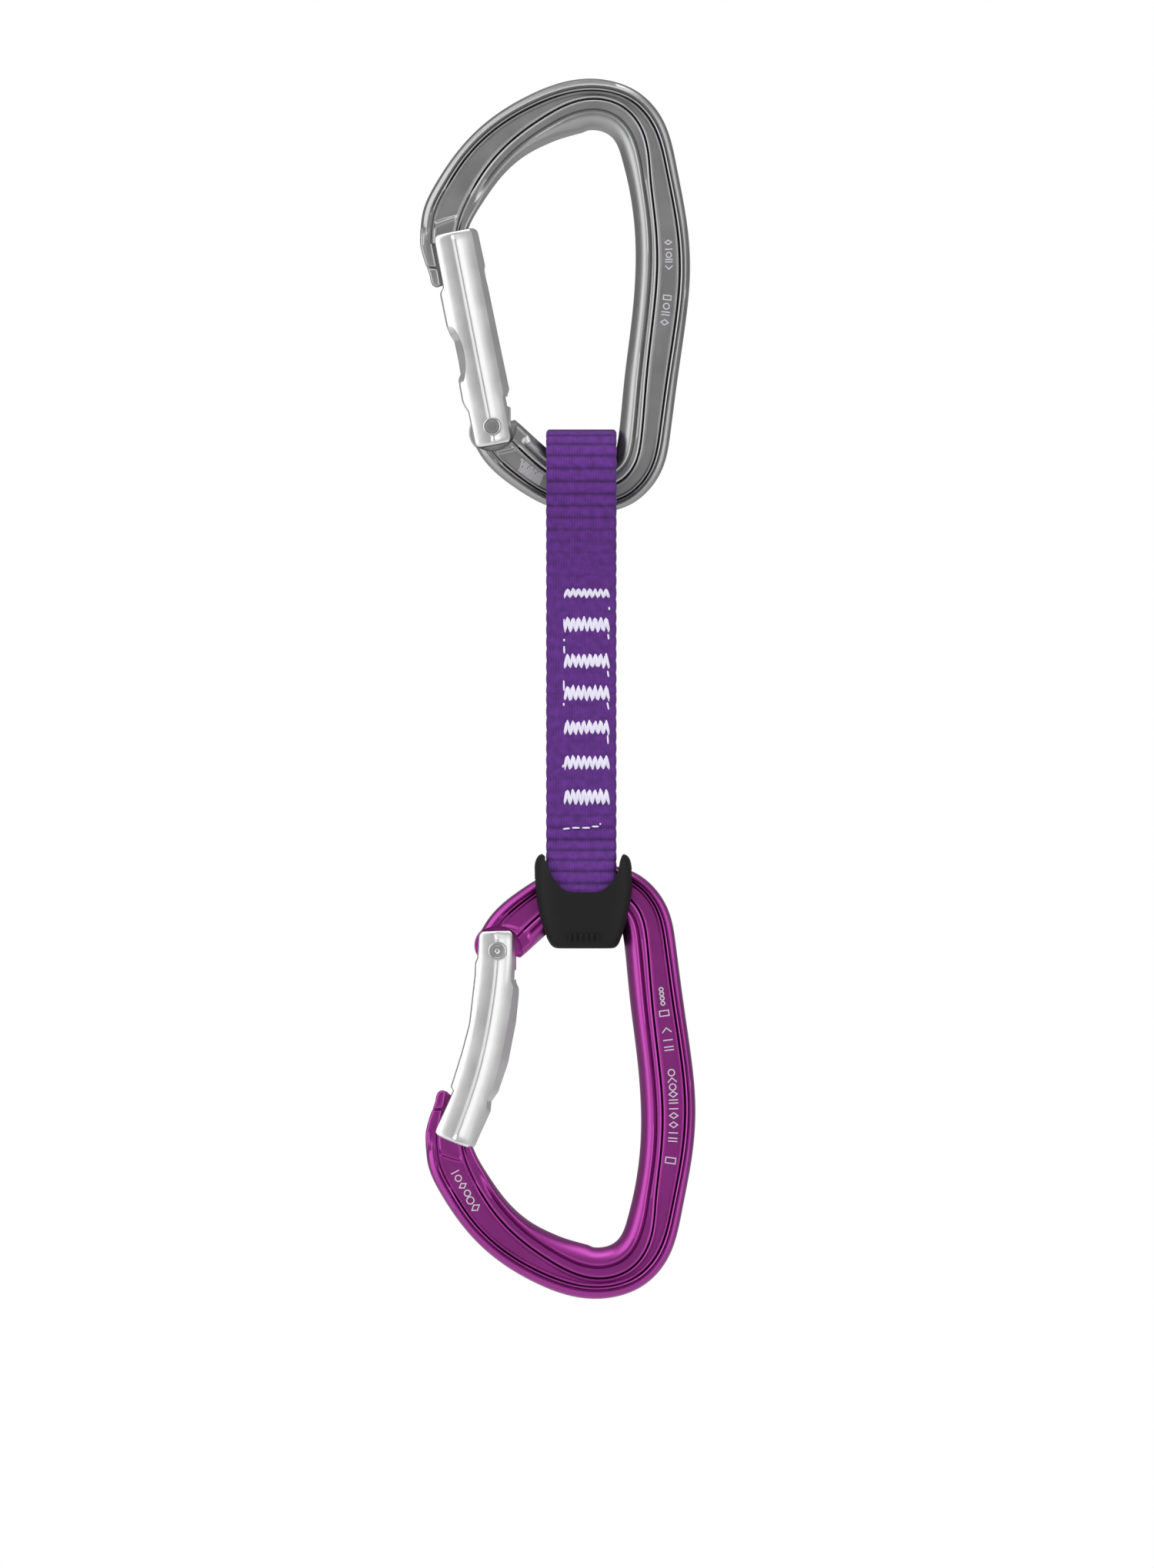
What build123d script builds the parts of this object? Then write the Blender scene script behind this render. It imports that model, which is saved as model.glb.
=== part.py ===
from build123d import *
import os
from math import cos, radians, sin

# Climbing quickdraw, hanging from its upper carabiner. Millimetres.
# Origin: the inside of the upper carabiner's crook, where it hangs.
# +Z up, +X toward the spines, +Y from front to back.

# Carabiner frame
HALF_THICK = 4.2  # bar, half its front-to-back thickness
OUTER_ROUND = 3.2
INNER_ROUND = 3.4
POCKET_DEPTH = 1.5
SHELF_DEPTH = 0.5
TANG_HALF = 1.9
NOSE_HALF = 1.9
KEY_HALF = 3.4
PIVOT = (-23.6, -69.0)  # rivet axis (X, Z)
GATE_LEAN = 11.1  # degrees, gate axis from the vertical
LOWER_SHIFT_X = 1.25
LOWER_MIRROR_Z = -259.9  # lower frame is the upper one mirrored about half this height

# Gates
GATE_HALF = 3.9
FORK_HALF = 2.1
NOSE_SLOT_HALF = 2.2
FORK_REACH = 7.9  # slot depth above the rivet axis
EAR_CLEARANCE = 6.0
EAR_RECESS = (12.4, 10)  # straight part of the recess, across and up from the rivet
TANG_ROUND, TANG_ROUND_R = (-24.3, -70.3), 4.6  # the tang's outer corner
TANG_FOOT, TANG_FOOT_SIZE = (-22.6, -73.4), (9, 5)
TANG_NOTCH, TANG_NOTCH_SIZE = (-18.3, -68.2), (8, 10)
BORE_R = 2.0
BORE_TOP = 22.0
RIVET_R = 1.6
RIVET_HEAD_R = 2.1
CAM_R = 4.6
CAM_OFFSET = 2.2
PUSHER_R = 1.5
PUSHER_REACH = 5.84  # rivet axis to the middle of the pusher's domed tip
PUSHER_LONG = 5.2
PUSHER_PIN_R, PUSHER_PIN_LONG = 0.8, 2.4
SPRING_R = 1.35
SPRING_WIRE_R = 0.24
SPRING_PITCH = 1.15
SPRING_GAP = 0.02  # wire to what it sits on
RIVET_OUT = 4.2
RIVET_HEAD = 0.35
RIVET_EDGE = 0.15
RIVET_FREE = 0.05
GATE_START, GATE_RUN = 8, 58  # the bar each gate is cut from, below the rivet and in all
# Half of a gate's section: across it from the outer side, and half its thickness there
GATE_HALF_SECTION = [
    (-8, 2.6), (-4.6, 3.3), (-0.3, 3.6), (3.4, GATE_HALF), (5.2, 2.9), (6.4, 1.5),
]

# Sling
WEB_LEFT, WEB_RIGHT = -11.0, 5.4
PLY = 1.7
CORE_HALF = 1.8
CORE_TOP, CORE_END = -105.0, -165.5
UPPER_EYE_TOP = -69.6
LOWER_EYE_END = -188.5
THREAD = 0.35
TACK_HEIGHTS = {
    -107.7: 2.6, -115.0: 4.1, -123.5: 3.9, -131.0: 4.15, -139.0: 3.8, -147.1: 3.8, -155.1: 4.2
}
TACK_LEFT, TACK_RIGHT, TACK_PEAKS = -6.7, 3.6, 8
TACK_THREAD = 0.4
TACK_SWING = 0.62  # the thread's middle line, as a share of the tack's height
TACK_NEEDLE_R = 0.2
BORDER_Z = -162.3
BORDER_HALF = 0.25
DASHES, DASH, DASH_PITCH, DASH_LEFT = 4, 1.75, 2.35, -7.1
KEEPER_HALF = 8.0
KEEPER_ROUND = 1.1
KEEPER_FREE = 0.15
KEEPER_ROOM_HALF = 6.8

# Bar outlines in the XZ plane from the nose round to the hinge: (outer, inner)
STATIONS = [
    ((-40.2, -27.0), (-29.8, -25.0)), ((-39.7, -19.2), (-28.2, -21.0)),
    ((-36.8, -12.6), (-25.3, -16.2)), ((-32.3, -5.8), (-21.4, -10.9)),
    ((-26.1, 0.9), (-16.5, -6.4)), ((-14.5, 8.4), (-8.7, -2.4)),
    ((-0.1, 12.0), (0.2, 0.0)), ((9.6, 9.4), (4.7, -2.1)),
    ((16.3, 2.2), (6.8, -7.2)), ((19.4, -8.5), (8.2, -13.0)),
    ((21.9, -22.5), (9.6, -23.0)), ((22.5, -32.5), (9.8, -32.0)),
    ((21.5, -44.5), (8.9, -44.2)), ((19.5, -58.6), (7.2, -58.0)),
    ((17.9, -70.8), (6.0, -70.0)), ((15.7, -79.6), (4.7, -75.6)),
    ((9.5, -86.6), (1.8, -77.8)), ((0.2, -89.1), (-2.5, -78.1)),
    ((-9.8, -87.7), (-7.4, -76.4)), ((-18.9, -82.7), (-12.4, -72.6)),
    ((-26.3, -75.5), (-16.9, -68.5)), ((-28.8, -70.6), (-18.2, -67.4)),
]


def rail(fraction, first=0, last=len(STATIONS) - 1):
    """Points a fraction of the way from the outer outline to the inner one."""
    return [
        (xo + fraction * (xi - xo), zo + fraction * (zi - zo))
        for (xo, zo), (xi, zi) in STATIONS[first:last + 1]
    ]


def along_gate(distance, across=0.0):
    """A point of the upper gate in XZ, up its axis from the rivet and across it."""
    lean = radians(GATE_LEAN)
    return (
        PIVOT[0] - distance * sin(lean) + across * cos(lean),
        PIVOT[1] + distance * cos(lean) + across * sin(lean),
    )


def y_plane(x, z, y=0.0):
    """Plane facing the front, with its origin at a point of the XZ plane."""
    return Plane(origin=(x, y, z), x_dir=(1, 0, 0), z_dir=(0, -1, 0))


def gate_section():
    """A gate's whole section as a face of the current sketch."""
    front = [(x, -half) for x, half in GATE_HALF_SECTION]
    return Polygon(*front, *GATE_HALF_SECTION[::-1], align=None)


def lower_rail(fraction):
    """The same rail on the lower bar; below 0 or above 1 it runs beyond the outlines."""
    return [(x + LOWER_SHIFT_X, LOWER_MIRROR_Z - z) for x, z in rail(fraction)]


def lowered(part):
    """The mirrored copy of an upper-carabiner piece, in its place at the bottom."""
    flipped = mirror(part, about=Plane.XY, mode=Mode.PRIVATE)
    return Pos(LOWER_SHIFT_X, 0, LOWER_MIRROR_Z) * flipped


CAM = along_gate(0, CAM_OFFSET)
GATE_DIR = (-sin(radians(GATE_LEAN)), 0, cos(radians(GATE_LEAN)))
GATE_ACROSS = (cos(radians(GATE_LEAN)), 0, sin(radians(GATE_LEAN)))
GATE_PLANE = Plane(origin=(PIVOT[0], 0, PIVOT[1]), x_dir=GATE_ACROSS, z_dir=GATE_DIR)

# Upper frame: full bar, rounded rims, then hinge and nose thinned to fit the gate
with BuildPart() as upper_frame:
    with BuildSketch(Plane.XZ):
        with BuildLine():
            outer = Spline(*rail(0.0))
            inner = Spline(*rail(1.0))
            Line(outer @ 0, inner @ 0)
            Line(outer @ 1, inner @ 1)
        make_face()
    extrude(amount=HALF_THICK, both=True)
    rims = upper_frame.edges().filter_by(GeomType.BSPLINE).sort_by(SortBy.LENGTH)
    fillet(rims[-2:], OUTER_ROUND)
    inner_rims = (
        upper_frame.edges().filter_by(GeomType.BSPLINE)
        .filter_by(lambda e: abs(abs(e.center().Y) - HALF_THICK) < 0.01)
        .sort_by(SortBy.LENGTH)[:2]
    )
    fillet(inner_rims, INNER_ROUND)
    # fluting: a shallow shelf with a deeper pocket in it, on both faces
    for side in (-1, 1):
        for f0, f1, depth in ((0.19, 0.63, SHELF_DEPTH), (0.26, 0.54, POCKET_DEPTH)):
            with BuildSketch(Plane.XZ.offset(side * HALF_THICK)):
                with BuildLine():
                    top = Spline(*rail(f0, 2, 19))
                    low = Spline(*rail(f1, 2, 19))
                    Line(top @ 0, low @ 0)
                    Line(top @ 1, low @ 1)
                make_face()
            extrude(amount=-side * depth, mode=Mode.SUBTRACT)
    # room for the gate's ears and for its swing past the nose arm
    for side in (-1, 1):
        with BuildSketch(Plane.XZ.offset(side * TANG_HALF)):
            with Locations(PIVOT):
                Circle(EAR_CLEARANCE)
            with Locations((PIVOT[0] + 0.3, PIVOT[1] + EAR_RECESS[1] / 2)):
                Rectangle(*EAR_RECESS)
        extrude(amount=side * HALF_THICK, mode=Mode.SUBTRACT)
    with BuildSketch(Plane.XZ):
        with BuildLine():
            Polyline(
                (-44, -29), along_gate(0), (-20, -40), (-20, -22.4), along_gate(46.75, 4.5)
            )
            ThreePointArc(along_gate(46.75, 4.5), along_gate(46.9, -2), along_gate(46.2, -9.5))
            Line(along_gate(46.2, -9.5), (-44, -29))
        make_face()
    extrude(amount=2 * HALF_THICK, both=True, mode=Mode.SUBTRACT)
    # tang between the gate's ears, with the cam that the spring's pusher rides on
    with BuildSketch(Plane.XZ):
        with Locations(CAM):
            Circle(CAM_R)
        with Locations(TANG_ROUND):
            Circle(TANG_ROUND_R)
        with Locations(TANG_FOOT):
            Rectangle(*TANG_FOOT_SIZE)
        with Locations(TANG_NOTCH):
            Rectangle(*TANG_NOTCH_SIZE, align=Align.MIN, mode=Mode.SUBTRACT)
    extrude(amount=TANG_HALF, both=True)
    with Locations(y_plane(*PIVOT)):
        Hole(RIVET_R)
    # nose tongue and its key
    with BuildSketch(Plane.XZ):
        with BuildLine():
            Spline((-40.1, -22.0), (-40.2, -25.6), (-39.8, -28.6), (-38.5, -32.4), (-37.7, -35.4))
            ThreePointArc((-37.7, -35.4), (-36.8, -36.5), (-35.3, -36.2))
            Polyline((-35.3, -36.2), (-33.6, -34.6), (-33.6, -31.0), (-34.6, -22.0), (-40.1, -22.0))
        make_face()
    extrude(amount=NOSE_HALF, both=True)
    with BuildSketch(Plane.XZ):
        with BuildLine():
            Spline((-38.6, -32.2), (-38.0, -34.0), (-37.7, -35.4))
            ThreePointArc((-37.7, -35.4), (-36.9, -36.4), (-35.5, -36.2))
            Polyline((-35.5, -36.2), (-36.2, -32.4), (-38.6, -32.2))
        make_face()
    extrude(amount=KEY_HALF, both=True)
upper_frame.part.label = "upper_frame"

with BuildPart() as lower_frame:
    add(lowered(upper_frame.part))
lower_frame.part.label = "lower_frame"

# Upper gate: straight, ridged down the middle, scooped for the thumb
with BuildPart() as upper_gate:
    with BuildSketch(GATE_PLANE.offset(-GATE_START)):
        gate_section()
    extrude(amount=GATE_RUN)
    with BuildSketch(Plane.XZ):
        with BuildLine():
            Spline((-37.0, -25.2), (-33.2, -23.8), (-28.9, -22.9), (-26.8, -23.8))
            Spline(
                (-26.8, -23.8), (-25.4, -31.2), (-22.7, -45.0), (-19.7, -60.0), (-19.1, -66.5),
                (-18.4, -70.4),
            )
            Spline((-18.4, -70.4), (-19.0, -72.2), (-22.5, -73.6), (-26.5, -73.9), (-28.1, -70.6))
            Spline(
                (-28.1, -70.6), (-28.9, -66.6), (-30.6, -62.9), (-31.3, -57.5), (-31.5, -53.0),
                (-32.3, -49.3), (-34.1, -46.0), (-34.9, -42.5), (-35.6, -38.4),
            )
            Polyline((-35.6, -38.4), (-35.6, -37.2), (-35.0, -36.6), (-37.0, -25.2))
        make_face()
    extrude(amount=2 * GATE_HALF, both=True, mode=Mode.INTERSECT)
    with BuildSketch(Plane.XZ):
        with Locations(PIVOT):
            Circle(FORK_REACH)
            Rectangle(18, 2 * FORK_REACH, align=(Align.CENTER, Align.MAX))
    extrude(amount=FORK_HALF, both=True, mode=Mode.SUBTRACT)
    with BuildSketch(Plane.XZ):
        Polygon((-33.0, -37.1), (-33.0, -20), (-44, -20), (-44, -37.1), align=None)
    extrude(amount=NOSE_SLOT_HALF, both=True, mode=Mode.SUBTRACT)
    with BuildSketch(GATE_PLANE):
        Circle(BORE_R)
    extrude(amount=BORE_TOP, mode=Mode.SUBTRACT)
    with Locations(y_plane(*PIVOT)):
        Hole(RIVET_R + RIVET_FREE)
upper_gate.part.label = "upper_gate"

# Lower gate: bent, swept along its curved middle line
LOWER_PIVOT = (PIVOT[0] + LOWER_SHIFT_X, LOWER_MIRROR_Z - PIVOT[1])
LOWER_TIP = (-31.4, -238.0)
LOWER_BORE_PLANE = Plane(
    origin=(LOWER_PIVOT[0], 0, LOWER_PIVOT[1]), x_dir=(0, 1, 0),
    z_dir=(GATE_DIR[0], 0, -GATE_DIR[2]),
)
with BuildPart() as lower_gate:
    with BuildLine() as bent:
        Spline(
            (-22.3, 0, -184.0), (-22.5, 0, -196.0), (-23.6, 0, -208.0), (-27.2, 0, -222.0),
            (LOWER_TIP[0], 0, LOWER_TIP[1]), tangents=((0, 0, -1), (-0.31, 0, -0.95)),
        )
    with BuildSketch(Plane(origin=bent.line @ 0, x_dir=(1, 0, 0), z_dir=(0, 0, -1))):
        gate_section()
    sweep(path=bent.line)
    with BuildSketch(Plane.XZ):
        with BuildLine():
            Spline((-26.6, -187.4), (-25.2, -186.2), (-21.8, -186.0), (-18.4, -187.1), (-17.8, -189.8))
            Spline(
                (-17.8, -189.8), (-17.9, -198.0), (-17.4, -201.0), (-18.0, -207.8), (-19.8, -216.9),
                (-22.1, -223.6), (-24.0, -228.0), (-26.4, -234.4),
            )
            Spline((-26.4, -234.4), (-28.7, -236.6), (-32.5, -236.0), (-35.8, -234.7))
            Polyline((-35.8, -234.7), (-33.7, -223.3), (-33.4, -222.6))
            Spline(
                (-33.4, -222.6), (-30.7, -214.6), (-28.9, -207.8), (-28.1, -200.8), (-27.2, -193.5),
                (-26.6, -187.4),
            )
        make_face()
    extrude(amount=2 * GATE_HALF, both=True, mode=Mode.INTERSECT)
    with BuildSketch(Plane.XZ):
        with Locations(LOWER_PIVOT):
            Circle(FORK_REACH)
            Rectangle(18, 2 * FORK_REACH, align=(Align.CENTER, Align.MIN))
    extrude(amount=FORK_HALF, both=True, mode=Mode.SUBTRACT)
    with BuildSketch(Plane.XZ):
        Polygon((-31.8, -222.8), (-31.8, -240), (-43, -240), (-43, -222.8), align=None)
    extrude(amount=NOSE_SLOT_HALF, both=True, mode=Mode.SUBTRACT)
    with BuildSketch(LOWER_BORE_PLANE):
        Circle(BORE_R)
    extrude(amount=BORE_TOP, mode=Mode.SUBTRACT)
    with Locations(y_plane(*LOWER_PIVOT)):
        Hole(RIVET_R + RIVET_FREE)
lower_gate.part.label = "lower_gate"

# Rivet through the gate's ears and the tang, a head on each side
with BuildPart() as upper_gate_rivet:
    with Locations(y_plane(*PIVOT)):
        Cylinder(RIVET_R, 2 * RIVET_OUT)
    for side in (-1, 1):
        with Locations(y_plane(*PIVOT, side * (RIVET_OUT - RIVET_HEAD / 2))):
            Cylinder(RIVET_HEAD_R, RIVET_HEAD)
    for end in (-1, 0):
        fillet(upper_gate_rivet.faces().sort_by(Axis.Y)[end].edges(), RIVET_EDGE)
upper_gate_rivet.part.label = "upper_gate_rivet"

# Domed pusher in the gate's bore, riding on the tang's cam
PUSHER_TOP = PUSHER_REACH + PUSHER_LONG
with BuildPart() as upper_gate_pusher:
    with Locations(GATE_PLANE.offset(PUSHER_REACH)):
        Sphere(PUSHER_R)
        Cylinder(PUSHER_R, PUSHER_TOP - PUSHER_REACH, align=(Align.CENTER, Align.CENTER, Align.MIN))
    with Locations(GATE_PLANE.offset(PUSHER_TOP)):
        Cylinder(
            PUSHER_PIN_R, PUSHER_PIN_LONG, align=(Align.CENTER, Align.CENTER, Align.MIN)
        )
upper_gate_pusher.part.label = "upper_gate_pusher"

SPRING_START = PUSHER_TOP + SPRING_WIRE_R + SPRING_GAP
SPRING_END = BORE_TOP - SPRING_WIRE_R - SPRING_GAP
with BuildPart() as upper_gate_spring:
    with BuildLine() as coil:
        Helix(
            pitch=SPRING_PITCH, height=SPRING_END - SPRING_START, radius=SPRING_R,
            center=(along_gate(SPRING_START)[0], 0, along_gate(SPRING_START)[1]),
            direction=GATE_DIR,
        )
    with BuildSketch(Plane(origin=coil.line @ 0, z_dir=coil.line % 0)):
        Circle(SPRING_WIRE_R)
    sweep(path=coil.line, is_frenet=True)
upper_gate_spring.part.label = "upper_gate_spring"

with BuildPart() as lower_gate_rivet:
    add(lowered(upper_gate_rivet.part))
lower_gate_rivet.part.label = "lower_gate_rivet"

with BuildPart() as lower_gate_pusher:
    add(lowered(upper_gate_pusher.part))
lower_gate_pusher.part.label = "lower_gate_pusher"

with BuildPart() as lower_gate_spring:
    add(lowered(upper_gate_spring.part))
lower_gate_spring.part.label = "lower_gate_spring"

# Sling: a roomy eye over the upper bar, a sewn flat middle, a tight eye over the lower bar
WEB_PLANE = Plane.YZ.offset(WEB_LEFT)
WEB_WIDTH = WEB_RIGHT - WEB_LEFT
with BuildPart() as webbing_upper_eye:
    with BuildSketch(WEB_PLANE):
        with BuildLine():
            ThreePointArc((-9.3, -78.9), (0, UPPER_EYE_TOP), (9.3, -78.9))
            Spline(
                (9.3, -78.9), (8.6, -85.0), (6.3, -92.0), (3.5, -99.0), (CORE_HALF, -104.1),
                tangents=((0, -1), (-0.12, -1)),
            )
            Polyline((CORE_HALF, -104.1), (0, CORE_TOP + 0.15), (-CORE_HALF, -104.1))
            Spline(
                (-CORE_HALF, -104.1), (-3.5, -99.0), (-6.3, -92.0), (-8.6, -85.0), (-9.3, -78.9),
                tangents=((-0.12, 1), (0, 1)),
            )
        make_face()
        with BuildLine():
            ThreePointArc((-7.6, -78.9), (0, UPPER_EYE_TOP - PLY), (7.6, -78.9))
            Spline(
                (7.6, -78.9), (6.9, -84.7), (4.7, -91.3), (1.9, -98.3), (0, -102.6),
                tangents=((0, -1), (-0.4, -1)),
            )
            Spline(
                (0, -102.6), (-1.9, -98.3), (-4.7, -91.3), (-6.9, -84.7), (-7.6, -78.9),
                tangents=((-0.4, 1), (0, 1)),
            )
        make_face(mode=Mode.SUBTRACT)
    extrude(amount=WEB_WIDTH)
webbing_upper_eye.part.label = "webbing_upper_eye"

with BuildPart() as webbing_lower_eye:
    with BuildSketch(WEB_PLANE):
        with BuildLine():
            Polyline((-CORE_HALF, -166.4), (0, CORE_END - 0.15), (CORE_HALF, -166.4))
            Spline(
                (CORE_HALF, -166.4), (4.6, -169.7), (6.3, -174.0), (6.65, -182.35),
                tangents=((0.7, -1), (0, -1)),
            )
            ThreePointArc((6.65, -182.35), (0, -189.0), (-6.65, -182.35))
            Spline(
                (-6.65, -182.35), (-6.3, -174.0), (-4.6, -169.7), (-CORE_HALF, -166.4),
                tangents=((0, 1), (0.7, 1)),
            )
        make_face()
        with BuildLine():
            Spline(
                (0, -168.0), (2.9, -170.3), (4.65, -174.4), (5.0, -182.4),
                tangents=((1, -0.6), (0, -1)),
            )
            ThreePointArc((5.0, -182.4), (0, -187.4), (-5.0, -182.4))
            Spline(
                (-5.0, -182.4), (-4.65, -174.4), (-2.9, -170.3), (0, -168.0),
                tangents=((0, 1), (1, 0.6)),
            )
        make_face(mode=Mode.SUBTRACT)
    extrude(amount=WEB_WIDTH)
webbing_lower_eye.part.label = "webbing_lower_eye"

# Bar tacks: zigzag thread on both faces, pulled through at both ends
tacks = []
for number, (height_z, tall) in enumerate(TACK_HEIGHTS.items(), 1):
    step = (TACK_RIGHT - TACK_LEFT) / (2 * TACK_PEAKS)
    zigzag = [
        (TACK_LEFT + i * step, height_z + TACK_SWING * (tall if i % 2 else -tall) / 2)
        for i in range(2 * TACK_PEAKS + 1)
    ]
    with BuildPart() as bar_tack:
        for side in (-1, 1):
            with BuildSketch(Plane.XZ.offset(side * CORE_HALF)):
                with BuildLine():
                    Polyline(*zigzag)
                trace(line_width=TACK_THREAD)
            extrude(amount=side * THREAD)
        with Locations(y_plane(*zigzag[0]), y_plane(*zigzag[-1])):
            Cylinder(TACK_NEEDLE_R, 2 * CORE_HALF)
    bar_tack.part.label = "bar_tack_%d" % number
    tacks.append(bar_tack)

# Running stitch along the end of the overlap, front dashes joined behind the gaps
with BuildPart() as border_stitch:
    run = []
    for i in range(DASHES):
        left = DASH_LEFT + DASH_PITCH * i
        run += [(left, -1), (left + DASH, -1), (left + DASH, 1), (left + DASH_PITCH, 1)]
    with BuildSketch(Plane.XY.offset(BORDER_Z)):
        with BuildLine():
            Polyline(*[(x, y * (CORE_HALF + THREAD / 2)) for x, y in run[:-1]])
        trace(line_width=THREAD)
    extrude(amount=BORDER_HALF, both=True)
border_stitch.part.label = "border_stitch"

with BuildPart() as webbing_core:
    with BuildSketch(WEB_PLANE):
        Polygon(
            (-CORE_HALF, CORE_TOP - 0.9), (0, CORE_TOP - 0.15), (CORE_HALF, CORE_TOP - 0.9),
            (CORE_HALF, CORE_END + 0.9), (0, CORE_END + 0.15), (-CORE_HALF, CORE_END + 0.9),
            align=None,
        )
    extrude(amount=WEB_WIDTH)
    for stitch in (*tacks, border_stitch):
        add(stitch.part, mode=Mode.SUBTRACT)
webbing_core.part.label = "webbing_core"

# Rubber keeper: holds the lower eye on its bar, open at the top and slotted at the sides
with BuildPart() as rubber_keeper:
    with BuildSketch(Plane.XZ):
        with BuildLine():
            Spline(
                (-12.0, -168.4), (-13.5, -170.4), (-13.6, -174.7), (-12.7, -182.2), (-11.3, -187.0),
                (-9.8, -190.3),
            )
            Line((-9.8, -190.3), (5.7, -190.3))
            Spline(
                (5.7, -190.3), (6.9, -186.9), (8.0, -182.8), (9.1, -177.8), (8.8, -171.4),
                (7.0, -168.4),
            )
            Spline((7.0, -168.4), (6.1, -169.9), (5.8, -172.9), (3.9, -175.3), (1.6, -177.2))
            Line((1.6, -177.2), (-6.0, -177.2))
            Spline((-6.0, -177.2), (-8.4, -175.3), (-10.3, -172.7), (-10.6, -170.1), (-12.0, -168.4))
        make_face()
    extrude(amount=KEEPER_HALF, both=True)
    fillet(rubber_keeper.edges().filter_by(Axis.Y, reverse=True), KEEPER_ROUND)
    # the eye's room, then the bar's room straight through from side to side
    with BuildSketch(WEB_PLANE.offset(-KEEPER_FREE)):
        with Locations((0, -171.0)):
            Rectangle(2 * KEEPER_ROOM_HALF, 22.8)
        with Locations((0, -182.35)):
            Circle(KEEPER_ROOM_HALF)
    extrude(amount=WEB_WIDTH + 2 * KEEPER_FREE, mode=Mode.SUBTRACT)
    with BuildSketch(Plane.XZ):
        with BuildLine():
            over = Spline(*lower_rail(-0.03)[14:21])
            under = Spline(*lower_rail(1.03)[14:21])
            Line(over @ 0, under @ 0)
            Line(over @ 1, under @ 1)
        make_face()
    extrude(amount=HALF_THICK + 0.1, both=True, mode=Mode.SUBTRACT)
rubber_keeper.part.label = "rubber_keeper"

pieces = [
    upper_frame, upper_gate, upper_gate_rivet, upper_gate_pusher, upper_gate_spring,
    lower_frame, lower_gate, lower_gate_rivet, lower_gate_pusher, lower_gate_spring,
    webbing_upper_eye, webbing_core, webbing_lower_eye, *tacks, border_stitch, rubber_keeper,
]
os.makedirs("parts", exist_ok=True)
for piece in pieces:
    export_step(piece.part, "parts/%s.step" % piece.part.label)
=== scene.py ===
import math
import random

import bmesh
import bpy
import numpy as np
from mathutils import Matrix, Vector


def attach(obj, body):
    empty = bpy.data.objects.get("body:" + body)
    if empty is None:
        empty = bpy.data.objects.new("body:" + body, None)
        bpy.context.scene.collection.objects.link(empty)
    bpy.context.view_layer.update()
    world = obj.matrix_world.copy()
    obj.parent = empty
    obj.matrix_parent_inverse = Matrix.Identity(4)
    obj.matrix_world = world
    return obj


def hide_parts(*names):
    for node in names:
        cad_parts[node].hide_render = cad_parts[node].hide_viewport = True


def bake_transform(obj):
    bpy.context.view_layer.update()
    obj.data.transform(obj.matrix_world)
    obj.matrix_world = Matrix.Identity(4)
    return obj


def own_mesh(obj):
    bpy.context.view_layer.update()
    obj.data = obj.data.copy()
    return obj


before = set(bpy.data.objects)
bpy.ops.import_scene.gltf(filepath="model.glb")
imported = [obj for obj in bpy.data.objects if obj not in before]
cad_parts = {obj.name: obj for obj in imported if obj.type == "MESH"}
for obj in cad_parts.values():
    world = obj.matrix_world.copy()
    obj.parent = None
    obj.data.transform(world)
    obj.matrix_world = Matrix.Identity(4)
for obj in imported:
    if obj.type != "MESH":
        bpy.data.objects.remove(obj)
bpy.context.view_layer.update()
scene = bpy.context.scene
MM = 0.001  # every size below is in millimetres and becomes metres in the meshes

# A carabiner's bar from the nose round to the hinge, in the XZ plane. Each station has its outer
# point, its inner point, and how far across the width the outer groove, inner groove and crease run.
STATIONS = [
    (-40.2, -27.0, -29.8, -25.0, 0.235, 0.78, 0.83), (-39.7, -19.2, -28.2, -21.0, 0.235, 0.75, 0.84),
    (-36.8, -12.6, -25.3, -16.2, 0.235, 0.705, 0.85), (-32.3, -5.8, -21.4, -10.9, 0.225, 0.665, 0.84),
    (-26.1, 0.9, -16.5, -6.4, 0.23, 0.62, 0.80), (-14.5, 8.4, -8.7, -2.4, 0.235, 0.51, 0.70),
    (-0.1, 12.0, 0.2, 0.0, 0.24, 0.405, 0.62), (9.6, 9.4, 4.7, -2.1, 0.22, 0.405, 0.63),
    (16.3, 2.2, 6.8, -7.2, 0.21, 0.45, 0.66), (19.4, -8.5, 8.2, -13.0, 0.21, 0.55, 0.70),
    (21.9, -22.5, 9.6, -23.0, 0.20, 0.60, 0.72), (22.5, -32.5, 9.8, -32.0, 0.19, 0.605, 0.73),
    (21.5, -44.5, 8.9, -44.2, 0.19, 0.61, 0.735), (19.5, -58.6, 7.2, -58.0, 0.20, 0.585, 0.715),
    (17.9, -70.8, 6.0, -70.0, 0.21, 0.555, 0.70), (15.7, -79.6, 4.7, -75.6, 0.21, 0.535, 0.69),
    (9.5, -86.6, 1.8, -77.8, 0.195, 0.51, 0.69), (0.2, -89.1, -2.5, -78.1, 0.20, 0.55, 0.71),
    (-9.8, -87.7, -7.4, -76.4, 0.21, 0.595, 0.74), (-18.9, -82.7, -12.4, -72.6, 0.22, 0.63, 0.76),
    (-26.3, -75.5, -16.9, -68.5, 0.23, 0.66, 0.78), (-28.8, -70.6, -18.2, -67.4, 0.23, 0.67, 0.78),
]
PIVOT = (-23.6, -69.0)  # the upper gate's rivet
GATE_LEAN = math.radians(11.1)
# The lower carabiner: what is added to the upper one's x, and what its z is taken from
LOWER_SHIFT, LOWER_MIRROR = 1.25, -259.9
STEPS, END_STEPS = 12, 36  # rings between two stations, and between those near the ends
END_SPANS = (0, 1, 18, 19, 20)  # the spans that count as near
THROUGH = 9  # half depth of a tool that cuts right through

# Half thicknesses of the bar
RIM, LEDGE, LIP, WEB, GROOVE, BAND, CROWN = 3.5, 2.95, 2.98, 2.42, 1.5, 3.1, 4.12


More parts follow.
